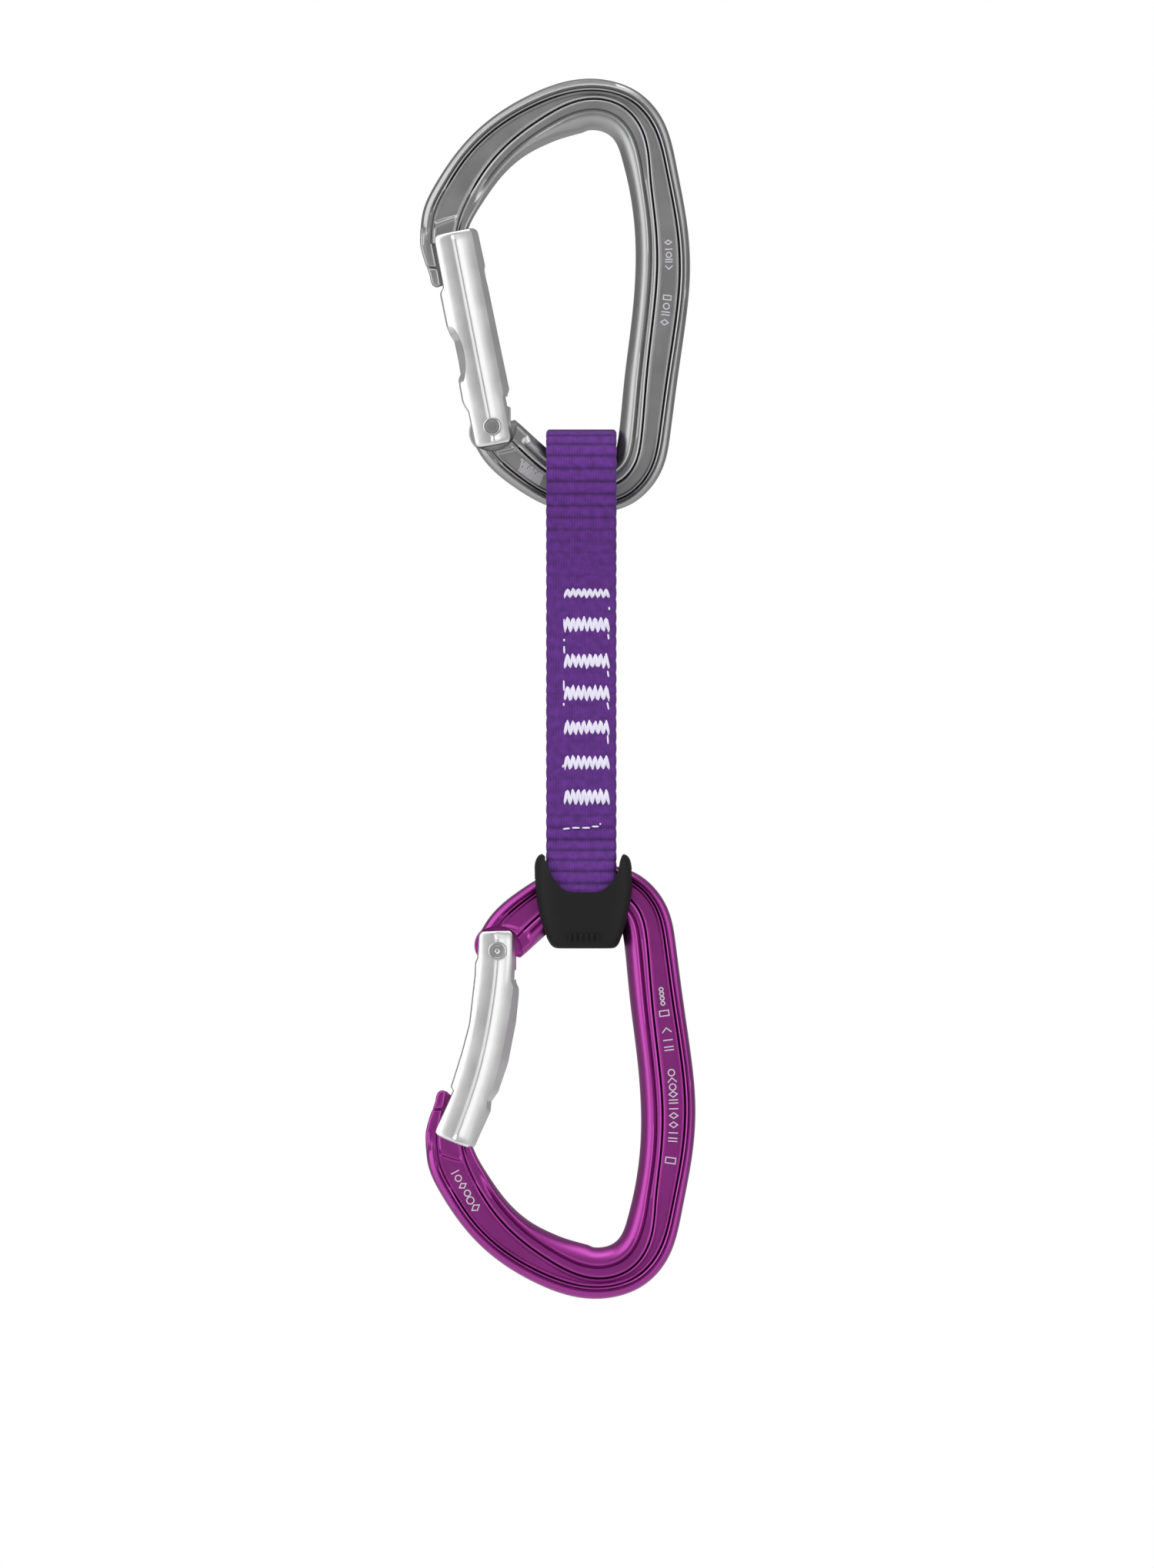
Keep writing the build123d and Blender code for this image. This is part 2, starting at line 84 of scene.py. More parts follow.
# ---- Small tools ----
def spline_rows(rows, steps):
    """Natural cubic spline through rows of numbers, steps samples to each span."""
    rows = np.array(rows, float)
    t = np.r_[0, np.cumsum(np.linalg.norm(np.diff(rows, axis=0), axis=1))]
    n, h = len(t), np.diff(t)
    a = np.eye(n)
    b = np.zeros_like(rows)
    for i in range(1, n - 1):
        a[i, i - 1:i + 2] = h[i - 1], 2 * (h[i - 1] + h[i]), h[i]
        b[i] = 6 * ((rows[i + 1] - rows[i]) / h[i] - (rows[i] - rows[i - 1]) / h[i - 1])
    m = np.linalg.solve(a, b)
    out = []
    for i in range(n - 1):
        for k in range(steps):
            u = h[i] * k / steps
            v = h[i] - u
            out.append(
                (m[i] * v**3 + m[i + 1] * u**3) / (6 * h[i])
                + (rows[i] / h[i] - m[i] * h[i] / 6) * v
                + (rows[i + 1] / h[i] - m[i + 1] * h[i] / 6) * u
            )
    return np.array(out + [rows[-1]])


RAILS = spline_rows(STATIONS, END_STEPS)
LAST = len(STATIONS) - 1


def smoothstep(x):
    """0 below 0 and 1 above 1, smooth in between."""
    x = min(1.0, max(0.0, x))
    return x * x * (3 - 2 * x)


def between(x, start, end, run_in, run_out):
    """1 between start and end, run in and out smoothly just inside them."""
    return smoothstep((x - start) / run_in) * smoothstep((end - x) / run_out)


def place(x, z, flip):
    """A point of the carabiner, or of its mirrored copy at the bottom."""
    return (x + LOWER_SHIFT, LOWER_MIRROR - z) if flip else (x, z)


def bar_point(at, share, flip=False):
    """A point of the bar by station and share of the width, below 0 or above 1 for beyond it."""
    xo, zo, xi, zi = RAILS[min(round(at * END_STEPS), LAST * END_STEPS)][:4]
    return place(xo + share * (xi - xo), zo + share * (zi - zo), flip)


def along_gate(distance, across=0.0):
    """A point in mm up the upper gate from its rivet, and in mm to the right of that line."""
    s, c = math.sin(GATE_LEAN), math.cos(GATE_LEAN)
    return (PIVOT[0] - distance * s + across * c, PIVOT[1] + distance * c + across * s)


def new_object(name, verts, faces, smooth=True):
    mesh = bpy.data.meshes.new(name)
    mesh.from_pydata([tuple(v) for v in verts], [], faces)
    mesh.update()
    if smooth:
        mesh.polygons.foreach_set("use_smooth", [True] * len(mesh.polygons))
    o = bpy.data.objects.new(name, mesh)
    scene.collection.objects.link(o)
    return o


def outward(o):
    """Turns every face's front to the outside."""
    bm = bmesh.new()
    bm.from_mesh(o.data)
    bmesh.ops.recalc_face_normals(bm, faces=bm.faces)
    bm.to_mesh(o.data)
    bm.free()


def tube(name, rings, smooth=True):
    """A closed skin over rings of equally many points, in mm."""
    n = len(rings[0])
    verts = [(x * MM, y * MM, z * MM) for ring in rings for x, y, z in ring]
    faces = [
        (r * n + i, r * n + (i + 1) % n, (r + 1) * n + (i + 1) % n, (r + 1) * n + i)
        for r in range(len(rings) - 1) for i in range(n)
    ]
    faces += [list(range(n))[::-1], list(range((len(rings) - 1) * n, len(rings) * n))]
    o = new_object(name, verts, faces, smooth)
    outward(o)
    return o


def slab(name, outline, y0, y1):
    """A plate between two depths, its outline in XZ."""
    return tube(name, [[(x, y, z) for x, z in outline] for y in (y0, y1)], smooth=False)


def apply_modifiers(o):
    mesh = bpy.data.meshes.new_from_object(o.evaluated_get(bpy.context.evaluated_depsgraph_get()))
    o.modifiers.clear()
    o.data = mesh


def cut(o, tool):
    """Takes the tool out of the piece and removes the tool."""
    m = o.modifiers.new("cut", "BOOLEAN")
    m.operation, m.solver, m.object = "DIFFERENCE", "EXACT", tool
    bpy.context.view_layer.update()
    apply_modifiers(o)
    bpy.data.objects.remove(tool)


def bevel(o, width, segments=3, angle=35):
    m = o.modifiers.new("bevel", "BEVEL")
    m.width, m.segments, m.limit_method = width * MM, segments, "ANGLE"
    m.angle_limit = math.radians(angle)
    bpy.context.view_layer.update()
    apply_modifiers(o)


def join(o, other):
    """Adds the other's mesh to o's, as a shell of its own."""
    bm = bmesh.new()
    bm.from_mesh(o.data)
    bm.from_mesh(other.data)
    bm.to_mesh(o.data)
    bm.free()
    bpy.data.objects.remove(other)


def crisp(o, angle):
    """Smooth shading, with an edge kept wherever the surface turns by more than the angle."""
    o.data.polygons.foreach_set("use_smooth", [True] * len(o.data.polygons))
    o.data.set_sharp_from_angle(angle=math.radians(angle))


def circle(x, z, r, count=48, start=0.0, end=360.0):
    """An arc's points between two angles in degrees; a whole circle doesn't repeat its first."""
    n = count if end - start == 360 else count + 1
    turn = [math.radians(start + (end - start) * i / count) for i in range(n)]
    return [(x + r * math.cos(a), z + r * math.sin(a)) for a in turn]


def declare(o, body, slot, look, *nodes):
    """Says what a piece rides on, its finish, and the CAD nodes it stands for."""
    if body:
        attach(o, body)
    if nodes:
        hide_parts(*nodes)
    o.data.materials.clear()
    o.data.materials.append(look)


# ---- Carabiner frames ----
POCKET_POINTS = 15  # across the sunk web
GROOVE_WIDE = 0.022  # half a groove, as a share of the width
SHOULDER = 3.95  # half thickness where the crown starts
# The crown: share of the way from its shoulder to the inner edge, half thickness without and with it
CROWN_ROWS = [
    (0.10, 2.95, CROWN), (0.25, 2.95, 4.05), (0.40, 2.93, 3.8), (0.54, 2.85, 3.42), (0.66, 2.7, 2.98),
    (0.78, 2.35, 2.45), (0.88, 1.85, 1.85), (0.95, 1.25, 1.25), (0.985, 0.75, 0.75), (1.0, 0.0, 0.0),
]


def pocket_start(share):
    """The station where the sunk web starts; its ends slant across the width."""
    return 0.62 + 0.95 * (share - 0.28)


def pocket_end(share):
    return 19.85 - 0.9 * (share - 0.25)


def section(at, outer, inner, crease):
    """Half thickness of the bar across its width at a station: (share, mm) from outer to inner."""
    # How far each feature is there, from 0 to 1: all of them run out before the bar's ends
    groove_o = between(at, 1.75, 19.55, 0.6, 0.1) * (1 - 0.5 * between(at, 5.0, 7.2, 0.8, 0.6))
    groove_i = between(at, 1.85, 19.5, 0.6, 0.1)
    crown = between(at, 1.5, 19.55, 1.5, 0.3)
    step = between(at, 0.9, 19.7, 0.5, 0.2)

    def pocket(share):
        """Sunk between the pocket's slanted ends, with a low lip standing round them."""
        start, end = pocket_start(share), pocket_end(share)
        lip = math.exp(-((at - start + 0.03) / 0.09) ** 2)
        lip += math.exp(-((at - end - 0.03) / 0.07) ** 2)
        return LEDGE + 0.2 * lip + (WEB - LEDGE) * between(at, start, end, 0.14, 0.1)

    def groove(centre, amount, left, right):
        """A flute between its left and right brinks."""
        floor = LEDGE + (GROOVE - LEDGE) * amount
        wide = GROOVE_WIDE * (0.4 + 0.6 * amount)
        return [(centre - wide, left), (centre - 0.6 * wide, floor + 0.25), (centre, floor),
                (centre + 0.6 * wide, floor + 0.25), (centre + wide, right)]

    step_floor = LEDGE - 0.3 * step
    rim = STRIP_HALF + (RIM - STRIP_HALF) * smoothstep(at / 0.9)
    band = LEDGE + (BAND - LEDGE) * crown
    points = [(0.0, 0.0), (0.004, 1.0), (0.010, 1.85), (0.020, 2.4), (0.035, 2.75), (0.055, 3.07)]
    points += [(outer - 0.125, rim - 0.2), (outer - 0.108, rim - 0.06), (outer - 0.094, rim - 0.1)]
    points += [(outer - 0.084, step_floor), (outer - 0.070, step_floor), (outer - 0.058, LEDGE - 0.1)]
    points += [(outer - 0.046, LEDGE + 0.1 * step), (outer - 0.038, LEDGE + 0.04 * step)]
    points += groove(outer, groove_o, LEDGE - 0.08 * step, LIP - 0.1)
    points += [(outer + 0.038, LIP - 0.06), (outer + 0.050, LIP - 0.18)]
    low, high = outer + 0.078, inner - 0.086
    across = [low + (high - low) * k / (POCKET_POINTS - 1) for k in range(POCKET_POINTS)]
    points += [(share, pocket(share)) for share in across]
    points += [(inner - 0.050, LIP - 0.14), (inner - 0.038, LIP - 0.03)]
    points += groove(inner, groove_i, LIP - 0.1, band - 0.16)
    points += [(inner + 0.050, band + 0.06 * crown), (inner + 0.064, band + 0.07 * crown)]
    points += [(crease - 0.03, band - 0.05 * crown), (crease - 0.012, band - 0.25 * crown)]
    shoulder = crease + 0.038
    points += [(crease + 0.004, band + 0.05 * crown), (shoulder, LEDGE + (SHOULDER - LEDGE) * crown)]
    for part, plain, full in CROWN_ROWS:
        points.append((shoulder + part * (1 - shoulder), plain + (full - plain) * crown))
    return points


def bar_rings():
    """Rings round the bar: across its front from outer to inner, then back again behind."""
    rings = []
    for i, (xo, zo, xi, zi, outer, inner, crease) in enumerate(RAILS):
        near_end = min(i // END_STEPS, LAST - 1) in END_SPANS
        if not near_end and i % (END_STEPS // STEPS):
            continue
        at = i / END_STEPS
        bulge = 0.03 * between(at, 4.9, 5.85, 0.7, 0.2)  # of the inner edge beside the crook
        front = []
        for share, half in section(at, outer, inner, crease):
            share += bulge * smoothstep((share - 0.8) / 0.2)
            front.append((xo + share * (xi - xo), -half, zo + share * (zi - zo)))
        rings.append(front + [(x, -y, z) for x, y, z in front[-2:0:-1]])
    return rings


# Plates at the bar's ends, in the XZ plane
TANG_R = 4.6
TANG = (  # between the gate's ears; the pusher rides on its first arc
    circle(*along_gate(0, 2.2), TANG_R, 24, 61, 140) + circle(-24.3, -70.3, TANG_R, 24, 130, 245)
    + [(-24.0, -76.5), (-18.0, -75.5), (-17.3, -68.4), (-19.2, -68.2)]
)
TONGUE = [  # the nose, in the gate's slot
    (-39.9, -21.0), (-40.2, -23.2), (-40.28, -25.6), (-40.2, -27.0), (-39.9, -28.4), (-39.25, -30.6),
    (-38.5, -32.4), (-38.0, -34.0), (-37.8, -35.2), (-37.5, -35.9), (-36.9, -36.4), (-36.2, -36.5),
    (-35.3, -36.2), (-33.6, -34.6), (-33.6, -31.0), (-34.6, -21.0),
]
KEY = [  # the nose's wider end
    (-38.6, -32.2), (-38.0, -34.0), (-37.8, -35.2), (-37.5, -35.9), (-36.9, -36.4), (-36.2, -36.5),
    (-35.5, -36.2), (-36.2, -32.4),
]
STRIP = [  # the nose's outer part, left of the gate
    (-39.95, -22.5), (-40.28, -25.6), (-40.2, -27.0), (-39.9, -28.4), (-39.25, -30.6),
    (-38.75, -31.9), (-36.35, -32.1), (-37.6, -25.8), (-37.9, -22.5),
]
TANG_HALF, NOSE_HALF, KEY_HALF, STRIP_HALF = 1.9, 1.9, 3.1, 2.93
EAR_ROOM = 5.8  # radius of the recess the gate's ears turn in
EAR_PLAY = 0.05  # how far that recess goes into the tang
SWING_R, SWING_FROM, SWING_TO = 46.5, 107.4, 92  # the arc the gate's top passes inside the nose


def carabiner(name):
    """The fluted bar, its ends cut for the gate, with the nose and the tang."""
    bar = tube(name, bar_rings())
    ears = [(-32, PIVOT[1]), (-32, -60), (-17.6, -60), (-17.6, PIVOT[1])]
    for y0, y1 in ((-THROUGH, -TANG_HALF + EAR_PLAY), (TANG_HALF - EAR_PLAY, THROUGH)):
        cut(bar, slab("tool", circle(*PIVOT, EAR_ROOM), y0, y1))
        cut(bar, slab("tool", ears, y0, y1))
    swing = circle(*PIVOT, SWING_R, 24, SWING_FROM, SWING_TO)
    cut(bar, slab("tool", swing + [(-20, -40), along_gate(30, -5.1)], -THROUGH, THROUGH))
    for outline, half, width in ((TANG, TANG_HALF, 0.35), (TONGUE, NOSE_HALF, 0.35),
                                 (STRIP, STRIP_HALF, 0.5), (KEY, KEY_HALF, 0.45)):
        plate = slab("plate", outline, -half, half)
        bevel(plate, width)
        join(bar, plate)
    crisp(bar, 32)
    return bar


def mirrored(name, o):
    """The same piece upside down, where the lower carabiner is."""
    mesh = o.data.copy()
    count = len(mesh.vertices)
    at = np.empty(count * 3, np.float32)
    mesh.vertices.foreach_get("co", at)
    at = at.reshape(count, 3)
    at[:, 0] += LOWER_SHIFT * MM
    at[:, 2] = LOWER_MIRROR * MM - at[:, 2]
    mesh.vertices.foreach_set("co", at.ravel())
    mesh.flip_normals()
    mesh.name = name
    copy = bpy.data.objects.new(name, mesh)
    scene.collection.objects.link(copy)
    return copy


# ---- Gates ----
# Each gate in the XZ plane: its crease, and the outlines left and right of it, ears first
UPPER_CREASE = [along_gate(d, -0.1) for d in (-4.45, 20, 46.25)]
UPPER_LEFT = [along_gate(*p) for p in (
    (-5, -4.5), (-2.5, -4.72), (4.4, -4.74), (5.9, -5.35), (7.0, -5.66), (10.3, -5.63), (12.3, -5.5),
    (13.3, -4.78), (16.6, -4.68), (21.2, -4.76), (22.9, -5.5), (25.0, -5.86), (32.3, -5.92),
    (33.0, -5.7), (33.7, -4.95), (47, -4.92),
)]
UPPER_RIGHT = [along_gate(*p) for p in (
    (-5, 4.72), (0.0, 4.88), (6.0, 4.86), (6.6, 5.0), (7.7, 5.66), (16.6, 5.55), (32.3, 5.4),
    (34.3, 5.3), (36.2, 5.34), (37.1, 5.68), (47, 5.5),
)]
LOWER_CREASE = [(-22.3, -186.15), (-22.3, -192.8), (-23.3, -202.7), (-26.5, -218.6), (-32.35, -235.6)]
LOWER_LEFT = [
    (-26.6, -185), (-26.8, -189.6), (-27.0, -192.6), (-27.5, -193.6), (-27.6, -196.3), (-28.1, -200.8),
    (-28.9, -207.8), (-30.7, -214.6), (-32.8, -221.3), (-33.2, -222.5), (-32.6, -223.3),
    (-34.2, -226.8), (-37.0, -232.9), (-38.4, -236),
]
LOWER_RIGHT = [
    (-17.8, -185), (-17.8, -193.4), (-18.0, -198.1), (-17.3, -199.7), (-17.35, -201.4),
    (-18.0, -207.6), (-19.8, -216.9), (-22.1, -223.7), (-23.7, -226.0), (-23.9, -228.3),
    (-26.7, -234.4), (-28.6, -239),
]
GATE_ROW = 0.35  # spacing of the rows in the mesh
CORNER, EDGE_ROUND = 1.5, 0.9  # rounding of a gate's corners, and of its end edges
SIDE_SOFT, SIDE_DROP = 0.55, 0.75  # rounding along a gate's outer side: its width and depth
BEVEL_AT, BEVEL_LEAST = 4.2, 1.1  # where the inner side's bevel starts, and its least width
BEVEL_ROWS = [(0.06, 3.66), (0.3, 3.0), (0.6, 2.2), (0.9, 1.35), (1.0, 0.95)]  # share, half thickness
SCOOP = (15.6, 29.2)  # where the upper gate's thumb scoop runs, from the end of its ears
SCOOP_EDGE, SCOOP_WIDE = -4.75, 1.75  # where its border starts from, and how far it comes in
SCOOP_LEAST, SCOOP_MOST = 0.5, -1.8  # the border's limits, from the outer side and from the crease
SCOOP_FLOOR, SCOOP_SLOPE = 0.5, 1.75  # the facet's half thickness at the outer side, and its rise
CREASE_FADE = 2.2  # the crease runs out this far from a gate's ends
CREASE_SPAN, CREASE_TOP = (-0.9, 3.5), 3.75  # there the face is filled up to this half thickness
# Half thickness of a gate's face, by mm from the crease
FACE = [(-6.6, 1.9), (-6.0, 2.45), (-5.5, 2.82), (-5.0, 3.08), (-4.3, 3.34), (-3.4, 3.55), (-2.4, 3.68),
        (-1.5, 3.75), (-0.9, 3.75), (-0.66, 3.72), (-0.12, 3.18), (0.05, 3.14), (0.35, 3.2),
        (0.8, 3.3), (1.3, 3.42), (1.9, 3.54), (2.6, 3.65), (3.6, 3.77), (4.4, 3.82), (8.0, 3.82)]


def reach(outline, centre, tangent, normal):
    """How far along the normal from the centre the outline passes."""
    ahead = (np.array(outline) - centre) @ tangent
    across = (np.array(outline) - centre) @ normal
    k = int(np.argmax(ahead[:-1] * ahead[1:] <= 0))
    return float(across[k] + (across[k + 1] - across[k]) * ahead[k] / (ahead[k] - ahead[k + 1]))


def gate_section(left, right, bevel_at, scoop, border):
    """Half thickness across a gate by mm from its crease, (mm, mm) from its outer side, which is
    round, to its inner side, which is bevelled. The thumb scoop's facet lies left of the border."""
    def face(x):
        soft = max(0.0, 1 - (x - left) / SIDE_SOFT)
        return float(np.interp(x, *zip(*FACE))) - SIDE_DROP * (1 - math.sqrt(1 - soft**2))

    points = []
    for k in range(9):
        x = left + (border - left) * k / 8
        facet = SCOOP_FLOOR + SCOOP_SLOPE * (x - left)
        points.append((x, face(x) + scoop * min(0.0, facet - face(x))))
    start = border + 0.14
    points += [(x, face(x)) for x in (start + (-1.0 - start) * k / 8 for k in range(9))]
    points += [p for p in FACE if -0.95 < p[0] < 3.0]
    points += [(bevel_at - 0.3, 3.8), (bevel_at, 3.78)]
    points += [(bevel_at + share * (right - bevel_at), half) for share, half in BEVEL_ROWS]
    return points


def gate(name, crease, left_side, right_side, scooped):
    """A bar along its crease between its two outlines, closed by rounded ends."""
    line = spline_rows(crease, steps=60)
    away = np.r_[0, np.cumsum(np.linalg.norm(np.diff(line, axis=0), axis=1))]
    total = away[-1]
    slope = np.gradient(line, axis=0)
    slope /= np.linalg.norm(slope, axis=1)[:, None]
    ends = [CORNER * (1 - math.cos(math.pi / 2 * k / 8)) for k in range(8)]
    spaced = list(np.arange(CORNER, total - CORNER, GATE_ROW))
    rings = []
    for d in ends + spaced + [total - e for e in ends[::-1]]:
        centre = np.array([np.interp(d, away, line[:, k]) for k in (0, 1)])
        tangent = np.array([np.interp(d, away, slope[:, k]) for k in (0, 1)])
        normal = np.array([-tangent[1], tangent[0]])
        normal *= math.copysign(1, normal[0])
        left = reach(left_side, centre, tangent, normal)
        right = reach(right_side, centre, tangent, normal)
        end = min(d, total - d)
        near, edge = max(0.0, CORNER - end), max(0.0, EDGE_ROUND - end)
        inset = CORNER - math.sqrt(CORNER**2 - near**2)
        low = EDGE_ROUND - math.sqrt(EDGE_ROUND**2 - edge**2)
        part = min(1.0, max(0.0, (d - SCOOP[0]) / (SCOOP[1] - SCOOP[0])))
        scoop = smoothstep(min(part, 1 - part) / 0.12) if scooped else 0.0
        border = SCOOP_EDGE + SCOOP_WIDE * math.sin(math.pi * part) ** 0.7
        border = min(max(border, left + SCOOP_LEAST), SCOOP_MOST)
        front = []
        squeeze = (right - left - 2 * inset) / (right - left)
        filled = 1 - smoothstep(end / CREASE_FADE)
        bevel_at = min(BEVEL_AT, right - BEVEL_LEAST)
        for x, half in gate_section(left, right, bevel_at, scoop, border):
            if CREASE_SPAN[0] < x < CREASE_SPAN[1]:
                half += filled * (CREASE_TOP - half)
            p = centre + normal * (left + inset + (x - left) * squeeze)
            front.append((p[0], -max(half - low, 0.4), p[1]))
        rings.append(front + [(x, -y, z) for x, y, z in front[::-1]])
    return tube(name, rings)


FORK_HALF, FORK_REACH, FORK_DOWN, NOSE_SLOT_HALF = 2.1, 7.9, 9, 2.2
BORE_R, BORE_TOP = 2.0, 22.0  # the top in mm up the gate from the rivet


def hollow(o, nose_slot, flip):
    """Cuts the fork between the ears, the slot for the nose, and the pusher's bore."""
    fork = circle(*PIVOT, FORK_REACH, 30, 0, 180)
    fork += [(PIVOT[0] + side * FORK_REACH, PIVOT[1] - FORK_DOWN) for side in (-1, 1)]
    cut(o, slab("tool", [place(x, z, flip) for x, z in fork], -FORK_HALF, FORK_HALF))
    cut(o, slab("tool", nose_slot, -NOSE_SLOT_HALF, NOSE_SLOT_HALF))
    ends = []
    for distance in (0, BORE_TOP):
        ring = []
        for across, depth in circle(0, 0, BORE_R, 24):
            x, z = place(*along_gate(distance, across), flip)
            ring.append((x, depth, z))
        ends.append(ring)
    cut(o, tube("tool", ends, smooth=False))
    crisp(o, 30)


def lathe(name, profile, x, z, count=48):
    """A turned piece with its axis front to back: (radius, y) rings."""
    rings = [(circle(x, z, max(r, 0.01), count), y) for r, y in profile]
    return tube(name, [[(px, y, pz) for px, pz in ring] for ring, y in rings])


# Rivets: (radius, y) from the middle of the front head, mirrored behind
FLAT_HEAD = [(0.0, -4.12), (1.30, -4.12), (1.38, -4.06), (1.46, -4.06), (1.54, -4.16), (1.80, -4.15),
             (1.96, -4.07), (2.04, -3.93), (2.04, -3.55), (1.6, -3.5)]
RINGED_HEAD = [(0.0, -3.84), (0.28, -3.86), (0.48, -3.96), (0.62, -4.08), (0.95, -4.12), (1.22, -4.07),
               (1.34, -3.96), (1.46, -3.96), (1.60, -4.08), (1.84, -4.10), (2.0, -4.02), (2.08, -3.88),
               (2.08, -3.5), (1.6, -3.45)]


def rivet(name, profile, flip):
    """A gate's rivet with the same head on both sides."""
    x, z = place(*PIVOT, flip)
    o = lathe(name, profile + [(r, -y) for r, y in profile[::-1]], x, z)
    crisp(o, 22)
    return o


# The spring in a gate's bore, in mm up the gate from the rivet
COIL_FROM, COIL_TO, COIL_R, WIRE_R = 11.3, 21.74, 1.35, 0.24
TURNS, TURN_STEPS = 9, 24
END_TURN = 0.5  # rise of the closed turn at each end


def spring(name, flip):
    """A coil of wire with its end turns closed."""
    rings = []
    for k in range(TURNS * TURN_STEPS + 1):
        turn = k / TURN_STEPS
        up = np.interp(turn, (0, 1, TURNS - 1, TURNS),
                       (COIL_FROM, COIL_FROM + END_TURN, COIL_TO - END_TURN, COIL_TO))
        ring = []
        for out, rise in circle(COIL_R, 0, WIRE_R, 10):
            around = 2 * math.pi * turn
            x, z = place(*along_gate(up + rise, out * math.cos(around)), flip)
            ring.append((x, out * math.sin(around), z))
        rings.append(ring)
    return tube(name, rings)


# ---- Materials ----
def material(name, color, metallic=0.0, roughness=0.5, **more):
    """A Principled material with its tree and shader; more: other inputs, _ for a space."""
    m = bpy.data.materials.new(name)
    m.use_nodes = True
    b = m.node_tree.nodes["Principled BSDF"]
    b.inputs["Base Color"].default_value = (*color, 1)
    b.inputs["Metallic"].default_value = metallic
    b.inputs["Roughness"].default_value = roughness
    for key, value in more.items():
        b.inputs[key.replace("_", " ")].default_value = value
    return m, m.node_tree, b


def node(tree, kind, links=(), **values):
    """A new node with its inputs or settings given by name, and links from other sockets."""
    n = tree.nodes.new(kind)
    for key, value in values.items():
        if key in n.inputs.keys():
            n.inputs[key].default_value = value
        else:
            setattr(n, key, value)
    for key, source in links:
        tree.links.new(source, n.inputs[key])
    return n


def maths(tree, operation, *operands):
    """A math node's result; each operand is a socket or a number."""
    n = node(tree, "ShaderNodeMath", operation=operation)
    for slot, value in enumerate(operands):
        if isinstance(value, float):
            n.inputs[slot].default_value = value
        else:
            tree.links.new(value, n.inputs[slot])
    return n.outputs[0]


def noise(tree, where, scale, detail):
    n = node(tree, "ShaderNodeTexNoise", [("Vector", where)], Scale=scale, Detail=detail)
    return n.outputs["Fac"]


def map_range(tree, source, start, end, low, high):
    """Turns start to end into low to high."""
    n = node(tree, "ShaderNodeMapRange", [("Value", source)])
    for key, value in (("From Min", start), ("From Max", end), ("To Min", low), ("To Max", high)):
        n.inputs[key].default_value = value
    return n.outputs["Result"]


def bump(tree, shader, height, strength, distance):
    n = node(tree, "ShaderNodeBump", [("Height", height)], Strength=strength, Distance=distance)
    tree.links.new(n.outputs["Normal"], shader.inputs["Normal"])


def tint(tree, shader, factor, color):
    """Makes the base colour the factor times this colour."""
    n = node(tree, "ShaderNodeVectorMath", [(0, factor)], operation="MULTIPLY")
    n.inputs[1].default_value = color
    tree.links.new(n.outputs["Vector"], shader.inputs["Base Color"])


def metal(name, color, roughness, **more):
    """Satin anodised aluminium: a fine even blast texture, slightly uneven sheen."""
    m, t, b = material(name, color, 1.0, roughness, **more)
    here = node(t, "ShaderNodeTexCoord").outputs["Object"]
    cloud = noise(t, here, 160.0, 4.0)
    bump(t, b, noise(t, here, 5200.0, 2.0), 0.12, 0.00004)
    t.links.new(map_range(t, cloud, 0.3, 0.7, roughness - 0.03, roughness + 0.04),
                b.inputs["Roughness"])
    tint(t, b, map_range(t, cloud, 0.0, 1.0, 0.93, 1.05), color)
    return m


UV_MM = 10.0  # mm to one unit of the webbing's uv map
WARP_PITCH, WEFT_PITCH = 0.62, 0.7  # mm from thread to thread, across the band and along it


def cloth(name, color):
    """Ribbed woven nylon: warp threads along the band, with shade painted into its colour between the
    ribs.
    """
    m, t, b = material(name, color, 0.0, 0.75, Sheen_Weight=0.05, Sheen_Roughness=0.4,
                       Specular_IOR_Level=0.25)
    uv = node(t, "ShaderNodeUVMap", uv_map="band").outputs["UV"]
    sep = node(t, "ShaderNodeSeparateXYZ", [(0, uv)])
    warp = maths(t, "MULTIPLY", sep.outputs["X"], 2 * math.pi * UV_MM / WARP_PITCH)
    weft = maths(t, "MULTIPLY", sep.outputs["Y"], 2 * math.pi * UV_MM / WEFT_PITCH)
    warp_wave = maths(t, "SINE", maths(t, "MULTIPLY_ADD", noise(t, uv, 38.0, 3.0), 3.5, warp))
    both = maths(t, "MULTIPLY", warp_wave, maths(t, "SINE", weft))
    weave = maths(t, "MULTIPLY_ADD", both, 0.6, warp_wave)
    bump(t, b, weave, 0.5, 0.00008)
    shade = maths(t, "MULTIPLY_ADD", weave, 0.10, noise(t, uv, 6.0, 5.0))
    # Painted shade: the attribute read here darkens the colour in the gaps between the ribs, most where
    # the band opens into an eye, and a little all over the sewn core.
    rib_shade = node(t, "ShaderNodeAttribute", attribute_name="rib_shade").outputs["Fac"]
    shade = maths(t, "MULTIPLY_ADD", rib_shade, -0.6, shade)
    tint(t, b, map_range(t, shade, 0.0, 0.8, 0.42, 1.25), color)
    return m


def speckled(name, color, roughness, scale, strength, spread=0.08, **more):
    """A matt stuff with fine bumps that are paler and darker by the spread."""
    m, t, b = material(name, color, 0.0, roughness, **more)
    fine = noise(t, node(t, "ShaderNodeTexCoord").outputs["Object"], scale, 4.0)
    bump(t, b, fine, strength, 0.00006)
    tint(t, b, map_range(t, fine, 0.0, 1.0, 1 - spread, 1 + spread), color)
    return m


grey = metal("grey_anodised_look", (0.30, 0.30, 0.303), 0.38)
purple = metal("purple_anodised_look", (0.275, 0.021, 0.228), 0.38, Coat_Weight=0.4,
               Coat_Roughness=0.33, Coat_IOR=1.6)
silver = metal("silver_anodised_look", (0.64, 0.64, 0.643), 0.36)
steel = metal("stainless_look", (0.42, 0.42, 0.42), 0.3)
etched = speckled("etched_mark_look", (0.42, 0.40, 0.43), 0.6, 3000.0, 0.2)

